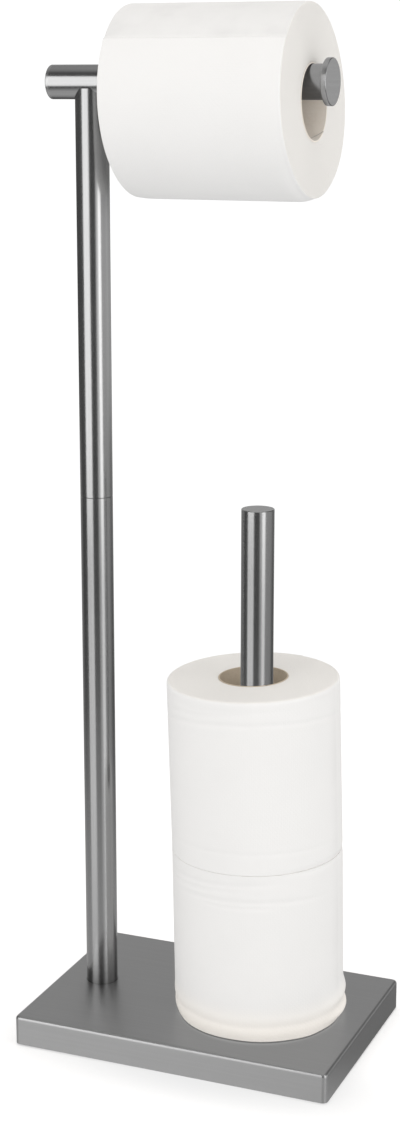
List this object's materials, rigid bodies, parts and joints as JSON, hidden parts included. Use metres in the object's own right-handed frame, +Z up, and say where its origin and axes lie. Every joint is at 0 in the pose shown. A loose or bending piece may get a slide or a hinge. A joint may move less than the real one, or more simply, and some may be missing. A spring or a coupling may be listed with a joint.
{
  "type": "free-standing toilet roll holder",
  "caption": "Free-standing brushed steel toilet roll holder: weighted flat base, tall post with an arm and stop cap for the roll in use, and a shorter upright spindle for spare rolls.",
  "frame": {"origin": "on the floor, under the middle of the base", "axes": "+Z up; +X along the arm from its short end behind the post to the stop cap; +Y to the back"},
  "size_m": [0.196, 0.136, 0.6013],
  "materials": {
    "brushed_stainless": "satin brushed stainless steel, grain along each tube and along the base",
    "zinc_plated_steel": "bright zinc plate",
    "ballast_iron": "matte, as cast",
    "non_slip_pad": "matte foam rubber sheet",
    "tissue": null,
    "core_board": "matte grey-brown board, spirally wound"
  },
  "bodies": {
    "stand": {"base_cover": "brushed_stainless", "base_weight": "ballast_iron", "base_pad": "non_slip_pad", "post_base_screw": "zinc_plated_steel", "post_base_washer": "zinc_plated_steel", "post_foot_insert": "zinc_plated_steel", "spindle_base_screw": "zinc_plated_steel", "spindle_base_washer": "zinc_plated_steel", "spindle_foot_insert": "zinc_plated_steel", "post_lower_tube": "brushed_stainless", "post_upper_tube": "brushed_stainless", "post_lower_joint_insert": "zinc_plated_steel", "post_upper_joint_insert": "zinc_plated_steel", "post_joint_stud": "zinc_plated_steel", "post_top_insert": "zinc_plated_steel", "arm_bolt": "zinc_plated_steel", "arm_saddle_nut": "zinc_plated_steel", "arm_tube": "brushed_stainless", "arm_end_plug": "brushed_stainless", "arm_stop_cap": "brushed_stainless", "spindle_tube": "brushed_stainless", "spindle_top_plug": "brushed_stainless"},
    "hanging_roll": {"hanging_roll_paper": "tissue", "hanging_roll_core": "core_board"},
    "lower_spare_roll": {"lower_spare_roll_paper": "tissue", "lower_spare_roll_core": "core_board"},
    "upper_spare_roll": {"upper_spare_roll_paper": "tissue", "upper_spare_roll_core": "core_board"}
  },
  "joints": [
    {"name": "hanging_roll_turn", "type": "hinge", "parent": "stand", "child": "hanging_roll", "pos_m": [0.0077, 0, 0.5483], "axis": [1, 0, 0], "continuous": true},
    {"name": "lower_spare_roll_lift", "type": "slide", "parent": "stand", "child": "lower_spare_roll", "axis": [0, 0, 1], "range_m": [0, 0.06]},
    {"name": "upper_spare_roll_lift", "type": "slide", "parent": "lower_spare_roll", "child": "upper_spare_roll", "axis": [0, 0, 1], "range_m": [0, 0.205]}
  ]
}
